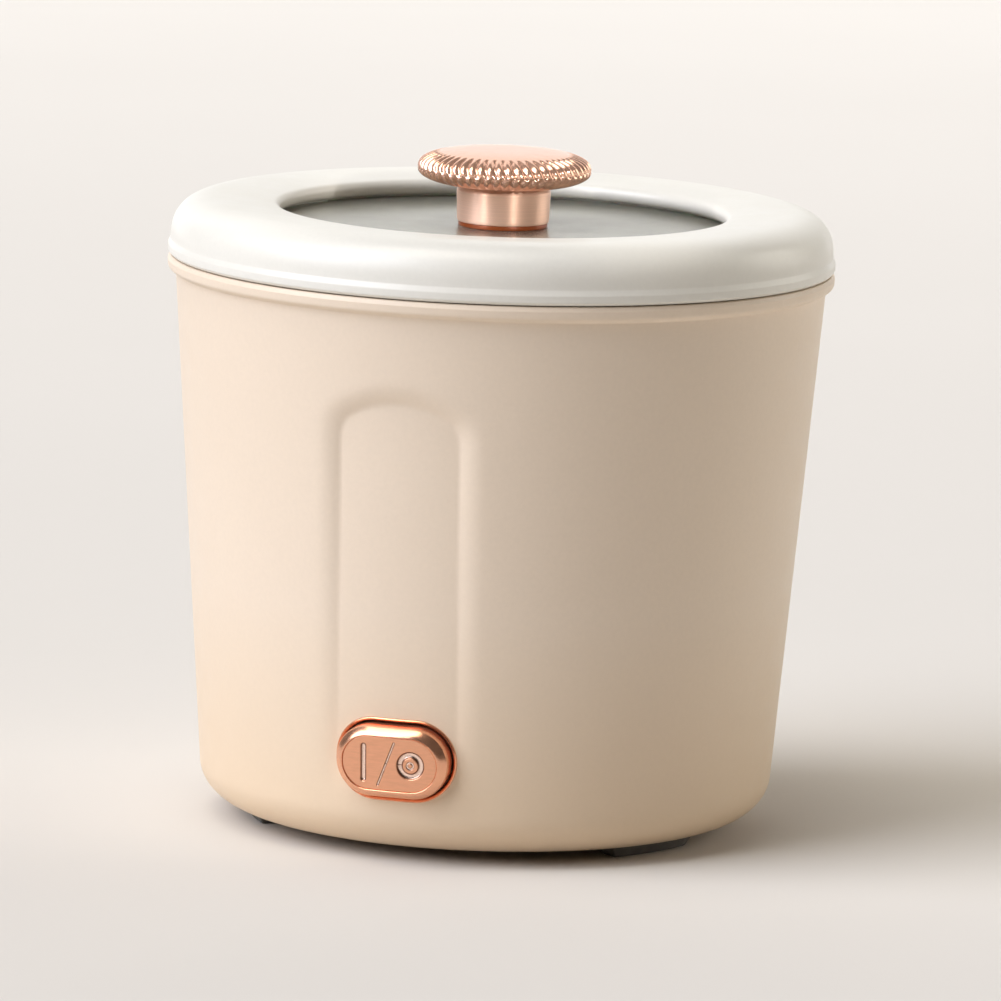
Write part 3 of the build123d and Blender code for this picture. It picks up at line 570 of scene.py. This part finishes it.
def foot_pad(name, azimuth):
    """A curved rubber pad: a rounded section swept along an arc, shorter at its bottom face."""
    low, high = 0.0, FOOT_H * 1000 + 0.3
    corners = [(50.8, high, 0), (51.5, low, 0.7), (56.6, low, 0.8), (58.0, high, 0)]
    section = rounded(corners, steps=5)
    steps, half_arc, draft = 28, math.radians(14), math.radians(1.6)
    verts = []
    for i in range(steps + 1):
        share = 2 * i / steps - 1
        for r, z in section:
            arc = half_arc - draft * (1 - min(z / FOOT_H, 1.0))
            angle = math.radians(azimuth) + arc * share
            verts.append((r * math.sin(angle), -r * math.cos(angle), z))
    count = len(section)
    faces = grid_faces(steps + 1, count, wrap_rows=False)
    faces += [tuple(range(count)), tuple(range(steps * count + count - 1, steps * count - 1, -1))]
    pad = piece(name, verts, faces, sharp=50)
    bevel = pad.modifiers.new("edge", "BEVEL")
    bevel.width, bevel.segments, bevel.limit_method = 0.35 * MM, 3, "ANGLE"
    return pad


for place, azimuth in {"front_left": -64, "front_right": 64, "rear": 180}.items():
    dress(foot_pad(f"pad_{place}", azimuth), RUBBER, "foot_rubber", "base", f"foot_{place}")


# ---------------------------------------------------------------- bowl and pot


def bowl():
    z0, z1 = BOWL_LOW.z * 1000, BOWL_HIGH.z * 1000
    corners = [
        (0, z0, 0), (64.5, z0, 8), (71.32, z1 - 1, 1.2), (75.0, z1 - 1, 0.3), (75.0, z1, 0.3),
        (70.4, z1, 1.0), (63.5, z0 + 1, 7), (0, z0 + 1, 0),
    ]
    return revolve("bowl_liner", rounded(corners))


def pot():
    """The drawn container: rolled rim, and two pressed level rings inside."""
    z0, z1 = POT_LOW.z * 1000, POT_HIGH.z * 1000
    lip = z1 - 1.3
    outer_low, outer_high = 62.93, 69.8
    skin = 0.8

    def inner_r(z):
        return outer_low - skin + (outer_high - outer_low) * (z - z0) / (lip - z0)

    levels = []
    for level in (z0 + 44, z0 + 72):
        levels += [(inner_r(level + 1.2), level + 1.2, 0.4), (inner_r(level) + 0.5, level, 0.5),
                   (inner_r(level - 1.2), level - 1.2, 0.4)]
    levels.sort(key=lambda corner: -corner[1])
    roll = [(73.4 + 1.2 * math.cos(a), z1 - 1.2 + 1.2 * math.sin(a), 0)
            for a in (math.radians(-150 + 20 * i) for i in range(15))]
    corners = [(0, z0, 0), (outer_low, z0, 8), (outer_high, lip - 0.8, 1.4), *roll,
               (outer_high - skin, lip, 1.0), *levels, (outer_low - skin, z0 + skin, 7.2), (0, z0 + skin, 0)]
    return revolve("steel_pot", rounded(corners))


dress(bowl(), BOWL_METAL, "bowl_aluminium", "base", "heating_bowl")
dress(pot(), POT_STEEL, "pot_steel", "pot", "inner_pot")

# ---------------------------------------------------------------- lid


def lid_ring():
    """The domed moulding: a flange over the rim, a rounded shoulder and a rolled inner lip."""
    z0, top = LID_BOTTOM, LID_TOP
    shoulder_z, shoulder_r, half = z0 + 4.25 * MM, 69.4 * MM, 10 * MM
    lip_r, lip_z, nose = 55.3 * MM, top - 2.9 * MM, 1.9 * MM
    outer = rounded([(79.4, shoulder_z * 1000, 0), (79.42, z0 * 1000 + 3.6, 1.0), (80, z0 * 1000 + 2.3, 1.0),
                     (80, z0 * 1000 + 0.7, 0.5), (79.3, z0 * 1000, 0.3), (77.1, z0 * 1000, 0)])[1:]
    dome = []
    for i in range(1, 33):
        a = math.radians(90 * i / 32)
        dome.append((shoulder_r + half * max(math.cos(a), 0) ** (2 / 2.3),
                     shoulder_z + (top - shoulder_z) * math.sin(a) ** (2 / 2.3)))
    top_in = []
    start_angle = math.radians(98)
    end_r = lip_r + nose * math.cos(start_angle)
    end_z = lip_z + nose * math.sin(start_angle)
    for i in range(1, 13):
        share = i / 12
        top_in.append((shoulder_r + (end_r - shoulder_r) * share, top - (top - end_z) * share ** 2))
    lip = []
    for i in range(1, 15):
        a = start_angle + (math.radians(270) - start_angle) * i / 14
        lip.append((lip_r + nose * math.cos(a), lip_z + nose * math.sin(a)))
    rib_low = GASKET_LOW.z
    under = [(60.2 * MM, lip_z - nose), (60.2 * MM, rib_low), (62.2 * MM, rib_low), (62.2 * MM, top - 2.4 * MM),
             (69.4 * MM, top - 2.4 * MM), (74 * MM, top - 4 * MM), (76.6 * MM, top - 8 * MM),
             (77.0 * MM, shoulder_z - 2 * MM)]
    return revolve("lid_dome", outer[::-1] + [(79.4 * MM, shoulder_z)] + dome + top_in + lip + under)


def gasket():
    z0, z1 = GASKET_LOW.z * 1000, GASKET_HIGH.z * 1000
    g0, g1 = GLASS_LOW.z * 1000, GLASS_HIGH.z * 1000
    corners = [(56.3, g1, 0), (56.3, z1, 0.2), (60.1, z1, 0), (60.1, z0, 0.3), (56.3, z0, 0.4), (56.3, g0, 0),
               (58.5, g0, 0), (58.5, g1, 0)]
    return revolve("window_gasket", rounded(corners, steps=3))


def glass_pane():
    z0, z1 = GLASS_LOW.z * 1000, GLASS_HIGH.z * 1000
    corners = [(3.2, z0, 0.2), (58.48, z0, 0.7), (58.48, z1, 0.7), (3.2, z1, 0.2)]
    return revolve("window_pane", rounded(corners, steps=4))


def liner():
    z0, z1 = LINER_LOW.z * 1000, LINER_HIGH.z * 1000
    low = z0 + 6.5
    corners = [(57, z1, 0.3), (75.8, z1, 0), (77, z1 - 2, 0), (77, low, 0.3), (75.2, low, 0.2),
               (75.2, low + 1.2, 0), (69.8, low + 1.2, 0), (69.8, low - 0.9, 0.2), (68.2, low - 0.9, 0.5),
               (68.2, z0, 0.8), (66.4, z0, 0.8), (66.4, low + 0.6, 1.5), (57, z1 - 1.8, 0.5)]
    return revolve("lid_underside", rounded(corners, steps=4))


def seal():
    """The silicone ring: two soft ribs that meet the pot's rim."""
    z0, z1 = SEAL_LOW.z * 1000, SEAL_HIGH.z * 1000
    corners = [(69.95, z1, 0.2), (75.05, z1, 0.2), (75.05, z0 + 0.5, 0.3), (74.4, z0, 0.4), (73.5, z0 + 0.5, 0.4),
               (72.5, z0 + 0.5, 0.4), (71.6, z0, 0.4), (70.6, z0 + 0.5, 0.3), (69.95, z0 + 0.5, 0.2)]
    return revolve("rim_seal", rounded(corners, steps=4))


dress(lid_ring(), LID, "lid_cream", "lid", "lid_ring")
dress(gasket(), SILICONE, "silicone_translucent", "lid", "glass_gasket")
dress(glass_pane(), GLASS, "window_glass", "lid", "lid_glass")
dress(liner(), INNER, "inner_plastic", "lid", "lid_liner")
dress(seal(), SILICONE, "silicone_translucent", "lid", "lid_seal")

# ---------------------------------------------------------------- knob

KNURLS = 54
CAP_R = 20.82 * MM
CAP_UNDER_R = 10.4 * MM
EQUATOR = CAP_HIGH.z - 5.0 * MM


def cap_outline(rows_top=64, rows_under=40):
    """(r, z, side) rows of the cap, from the centre of its top to the neck."""
    rows = []
    for i in range(rows_top + 1):
        a = math.radians(90 * (1 - i / rows_top))
        rows.append((CAP_R * max(math.cos(a), 0) ** (2 / 3), EQUATOR + 5.0 * MM * math.sin(a) ** (2 / 3)))
    for i in range(1, rows_under + 1):
        a = math.radians(90 * i / rows_under)
        rows.append((CAP_UNDER_R + (CAP_R - CAP_UNDER_R) * math.cos(a), EQUATOR - 3.6 * MM * math.sin(a)))
    return rows


def knurl_depth(r, z, angle):
    """Braided knurling: slanted scallops round the shoulder, and a second row under it, half a pitch on."""
    height = (z - EQUATOR) / MM
    upper = smoothstep((height + 0.2) / 0.9) * smoothstep((r / MM - 15.2) / 2.2)
    lower = smoothstep((0.5 - height) / 0.9) * smoothstep((r / MM - 12.5) / 3.0)
    slant = 0.34
    phase = KNURLS * angle
    notch_upper = (0.5 + 0.5 * math.cos(phase + slant * 2.6 * height)) ** 1.8
    notch_lower = (0.5 + 0.5 * math.cos(phase + math.pi - slant * 2.0 * height)) ** 1.8
    return (0.52 * upper * notch_upper + 0.62 * lower * notch_lower) * MM


def knob_cap():
    rows = cap_outline()
    angles = even_angles(KNURLS * 14)
    verts = []
    for i, (r, z) in enumerate(rows):
        before, after = rows[max(i - 1, 0)], rows[min(i + 1, len(rows) - 1)]
        along = Vector((after[0] - before[0], after[1] - before[1])).normalized()
        inward = Vector((along.y, -along.x))
        for angle in angles:
            depth = knurl_depth(r, z, angle) if r > 11 * MM else 0.0
            radius, height = r + inward.x * depth, z + inward.y * depth
            verts.append((radius * math.sin(angle), -radius * math.cos(angle), height))
    faces = grid_faces(len(rows), len(angles), wrap_rows=False)
    count = len(angles)
    faces.append(tuple(range(len(verts) - 1, len(verts) - 1 - count, -1)))
    return piece("knurled_cap", verts, faces, sharp=60)


def knob_neck():
    z0, z1 = NECK_LOW.z * 1000, NECK_HIGH.z * 1000
    corners = [(2.6, z0, 0), (10.95, z0, 0.35), (11.08, z0 + 0.9, 0.4), (11.3, z1 - 1.3, 0.9), (10.4, z1, 0),
               (2.6, z1, 0)]
    return revolve("satin_neck", rounded(corners))


def knob_collar():
    z0, z1 = COLLAR_LOW.z * 1000, COLLAR_HIGH.z * 1000
    corners = [(2.6, z0, 0), (10.7, z0, 0.15), (10.7, z1, 0.15), (2.6, z1, 0)]
    return revolve("brown_collar", rounded(corners, steps=3))


dress(knob_cap(), ROSE_POLISHED, "rose_gold_polished", "lid", "knob_cap")
dress(knob_neck(), ROSE_SATIN, "rose_gold_satin", "lid", "knob_neck")
dress(knob_collar(), COPPER_BROWN, "copper_brown", "lid", "knob_collar")

# ---------------------------------------------------------------- power button


def mark_groove(x, y):
    """The button's marks at a place on its face, a bar, a slash and a ring: the depth of the round-bottomed
    groove, and how far in from its edge the place is, 0 to 1."""

    def groove(distance, half_width, depth):
        inside = min(max(-distance / half_width, 0.0), 1.0)
        return depth * math.sqrt(1 - (1 - inside) ** 2), inside

    def bar(cx, half_length, half_width, lean, depth):
        dx = x - cx
        along = dx * math.sin(lean) + y * math.cos(lean)
        across = dx * math.cos(lean) - y * math.sin(lean)
        distance = math.hypot(across, max(abs(along) - half_length, 0)) - half_width
        return groove(distance, half_width, depth)

    ring = math.hypot(x - 5.3 * MM, y)
    return max(
        bar(-6.3 * MM, 3.9 * MM, 0.75 * MM, 0.0, 0.6 * MM),
        bar(-0.7 * MM, 5.5 * MM, 0.3 * MM, math.radians(21), 0.3 * MM),
        groove(abs(ring - 2.6 * MM) - 0.8 * MM, 0.8 * MM, 0.6 * MM),
        groove(abs(ring - 0.75 * MM) - 0.3 * MM, 0.3 * MM, 0.15 * MM),
    )


def crowned(x, lift):
    """Height over the wall of a place on the button, which follows the housing's curve."""
    return lift - x * x / (2 * CROWN_R) * min(max(lift / BUTTON_FACE_LIFT, 0.0), 1.0)


def button_face(count):
    """The satin face: rings of points towards the middle line, sunk where the marks are."""
    half_straight, radius, step = 5.25 * MM, 6.42 * MM, 0.10 * MM
    rings = int(radius / step)
    verts = []
    for i in range(rings + 1):
        r = max(radius - i * step, 0.02 * MM)
        for x, y in matched_stadium(half_straight, r, count):
            sink = 0.6 * MM if i == 0 else 0.28 * MM + mark_groove(x, y)[0]
            verts.append(on_button(x, y, crowned(x, BUTTON_FACE_LIFT - sink)))
    faces = grid_faces(rings + 1, count, wrap_rows=False)
    faces.append(tuple(range(len(verts) - 1, len(verts) - 1 - count, -1)))
    face = piece("button_face", verts, faces, sharp=80)
    groove = face.data.attributes.new("groove", "FLOAT", "POINT")
    middle = on_button(0, 0, 0)
    for vertex, value in zip(face.data.vertices, groove.data):
        offset = vertex.co - middle
        value.value = mark_groove(offset.x, offset.dot(BUTTON_UP))[1]
    return face


def matched_stadium(half_straight, radius, count):
    """Stadium points that keep the same share of straight and arc for any radius."""
    quarter = count // 4
    points = []
    for i in range(quarter):
        points.append((-half_straight + 2 * half_straight * i / quarter, -radius))
    for i in range(quarter):
        a = -math.pi / 2 + math.pi * i / quarter
        points.append((half_straight + radius * math.cos(a), radius * math.sin(a)))
    for i in range(quarter):
        points.append((half_straight - 2 * half_straight * i / quarter, radius))
    for i in range(quarter):
        a = math.pi / 2 + math.pi * i / quarter
        points.append((-half_straight + radius * math.cos(a), radius * math.sin(a)))
    return points


def lofted(name, rings, count=240, sharp=40):
    """A closed loft of stadium rings (half straight, radius, lift) in millimetres, capped at both ends."""
    verts = []
    for half_straight, radius, lift in rings:
        for x, y in matched_stadium(half_straight * MM, radius * MM, count):
            verts.append(on_button(x, y, crowned(x, lift * MM)))
    faces = grid_faces(len(rings), count, wrap_rows=False)
    last = len(verts)
    faces += [tuple(range(count)), tuple(range(last - 1, last - 1 - count, -1))]
    return piece(name, verts, faces, sharp)


def button_cap():
    """The cap: straight sides, a rounded rim, a broad polished bevel and a small step down to the face."""
    rings = [(5.2, 8.1, -2.5), (5.2, 8.5, -2.3), (5.2, 8.55, -1.9), (5.2, 8.55, 0.0), (5.2, 8.55, 1.9),
             (5.21, 8.50, 2.25), (5.23, 8.38, 2.55), (5.25, 8.20, 2.80), (5.25, 7.90, 3.22), (5.25, 7.55, 3.66),
             (5.25, 7.20, 4.02), (5.25, 6.90, 4.25), (5.25, 6.72, 4.34), (5.25, 6.60, 4.38), (5.25, 6.52, 4.34),
             (5.25, 6.46, 4.22), (5.25, 6.44, 3.4)]
    return lofted("button_rim", rings)


def bezel():
    """The trim ring: it follows the curved wall outside, and is level round the button."""
    count = 240

    def wall_lift(x, y):
        z = BUTTON_Z + y * math.cos(TILT)
        radius = wall_r(z) - recess_depth(x, z)
        return math.sqrt(max(radius ** 2 - x ** 2, 0)) - wall_r(z)

    profile = [(0.0, -0.8), (0.0, 0.25), (0.08, 0.45), (0.22, 0.55), (0.38, 0.48), (0.7, 0.1), (1.0, -0.4)]
    verts = []
    for inset, lift in profile:
        for x, y in matched_stadium(5 * MM, (9.9 - inset) * MM, count):
            verts.append(on_button(x, y, wall_lift(x, y) + lift * MM))
    for inset, lift in [(1.03, -5.0), (0.6, -5.0), (0.6, -1.9)]:
        for x, y in matched_stadium(5.1 * MM, (9.9 - inset) * MM, count):
            verts.append(on_button(x, y, lift * MM))
    return piece("button_trim", verts, grid_faces(len(verts) // count, count))


dress(button_cap(), ROSE_BUTTON, "rose_gold_polished", "button", "button_cap")
dress(button_face(480), ROSE_FACE, "rose_gold_polished", "button")
dress(bezel(), ROSE_BUTTON, "rose_gold_polished", "base", "button_bezel")

# ---------------------------------------------------------------- CAD nodes that stay, with their materials

KEPT = {
    "base_plate": SHELL, "base_screws": SCREW, "insulation_sleeve": FELT, "heater_plate": CAST,
    "ptc_heaters": CERAMIC, "heater_clamp": SPRING, "clamp_screws": SCREW, "thermostat": SPRING,
    "thermal_fuse": CERAMIC, "switch_bracket": INNER, "switch_screws": SCREW, "switch_body": BLACK,
    "switch_terminals": BRASS, "inlet_housing": BLACK, "inlet_pins": BRASS, "lead_live": RED_LEAD,
    "lead_neutral": BLUE_LEAD, "lead_switched": RED_LEAD, "button_plunger": INNER, "knob_gasket": SILICONE,
    "knob_washer": SPRING, "knob_screw": SCREW,
}
for node, shader in KEPT.items():
    dress(frame["nodes"][node], shader)

# ---------------------------------------------------------------- studio


def studio_floor():
    """A pale floor, large enough to fill the view."""
    mesh = bpy.data.meshes.new("floor")
    size = 14.0
    corners = [(-size, -size, 0), (size, -size, 0), (size, size, 0), (-size, size, 0)]
    mesh.from_pydata(corners, [], [(0, 1, 2, 3)])
    floor = bpy.data.objects.new("floor", mesh)
    bpy.context.scene.collection.objects.link(floor)
    s = Shader("floor_paper", (0.72, 0.685, 0.64), 0.9)
    s.mottle((0.705, 0.67, 0.625), s.ranged(s.noise(0.4), 0.0, 1.0))
    floor.data.materials.append(s.material)


def soft_light(name, azimuth, elevation, spread, strength, color):
    """A distant soft light of a given angular size, from a direction round the object."""
    data = bpy.data.lights.new(name, "SUN")
    data.angle, data.energy, data.color = math.radians(spread), strength, color
    light = bpy.data.objects.new(name, data)
    light.location = polar(azimuth, elevation, 2.0, Vector())
    light.rotation_mode = "QUATERNION"
    light.rotation_quaternion = light.location.to_track_quat("Z", "Y")
    bpy.context.scene.collection.objects.link(light)


def softbox(name, place, size, radiance, color):
    """A rectangular soft box that faces the object, with a given brightness of its face."""
    data = bpy.data.lights.new(name, "AREA")
    data.shape, data.size, data.size_y = "RECTANGLE", size[0], size[1]
    data.energy, data.color = radiance * math.pi * size[0] * size[1], color
    light = bpy.data.objects.new(name, data)
    light.location = place
    light.rotation_mode = "QUATERNION"
    light.rotation_quaternion = (place - TARGET).to_track_quat("Z", "Y")
    bpy.context.scene.collection.objects.link(light)


def knob_light(name, azimuth, strength, color):
    """A small soft spot on the knob alone, with a given strength where it lands."""
    target, reach, elevation = Vector((0, 0, NECK_HIGH.z)), 1.3, 15
    place = polar(azimuth, elevation, reach, target)
    data = bpy.data.lights.new(name, "SPOT")
    data.energy, data.color, data.shadow_soft_size = strength * 4 * math.pi * reach ** 2, color, 0.012
    data.spot_size, data.spot_blend = math.radians(2.6), 0.5
    light = bpy.data.objects.new(name, data)
    light.location = place
    light.rotation_mode = "QUATERNION"
    light.rotation_quaternion = (place - target).to_track_quat("Z", "Y")
    bpy.context.scene.collection.objects.link(light)


def polar(azimuth, elevation, distance, centre):
    """A place at a camera-style azimuth and elevation round a centre."""
    a, e = math.radians(azimuth), math.radians(elevation)
    return centre + distance * Vector((math.sin(a) * math.cos(e), -math.cos(a) * math.cos(e), math.sin(e)))


AZIMUTH, ELEVATION, ROLL = 17.8, 9.26, math.radians(1.884)
TARGET = Vector((0, 0, 68.5 * MM))
DISTANCE = 2.2


def camera():
    """The camera: a long lens, a little above the lid, a little round from the front."""
    data = bpy.data.cameras.new("camera")
    data.lens, data.sensor_width = 328.4, 36
    data.shift_x, data.shift_y = 0.0080, 0.0357
    data.clip_start, data.clip_end = 0.1, 60
    cam = bpy.data.objects.new("camera", data)
    cam.location = polar(AZIMUTH, ELEVATION, DISTANCE, TARGET)
    look = (cam.location - TARGET).to_track_quat("Z", "Y").to_matrix()
    cam.matrix_world = Matrix.Translation(cam.location) @ (look @ Matrix.Rotation(ROLL, 3, "Z")).to_4x4()
    bpy.context.scene.collection.objects.link(cam)
    bpy.context.scene.camera = cam


def world():
    """Even, faintly warm surroundings."""
    made = bpy.data.worlds.new("studio")
    made.use_nodes = True
    background = made.node_tree.nodes["Background"]
    background.inputs["Color"].default_value = (1.0, 0.86, 0.70, 1)
    background.inputs["Strength"].default_value = 0.055
    bpy.context.scene.world = made


studio_floor()
world()
camera()
soft_light("key", AZIMUTH - 66, 35, 50, 2.76, (0.95, 1.0, 1.13))
soft_light("overhead", AZIMUTH - 60, 74, 34, 1.25, (1.0, 0.94, 0.84))
soft_light("rim", AZIMUTH + 115, 14, 40, 1.05, (1.0, 0.97, 0.90))
softbox("back", polar(AZIMUTH + 180, 20, 3.2, TARGET), (5.0, 3.2), 1.0, (1.0, 1.0, 0.99))
knob_light("knob_right", AZIMUTH + 27, 1.3, (1.0, 0.95, 0.90))
knob_light("knob_left", AZIMUTH - 48, 0.65, (1.0, 0.95, 0.90))

bpy.context.scene.view_settings.view_transform = "Standard"
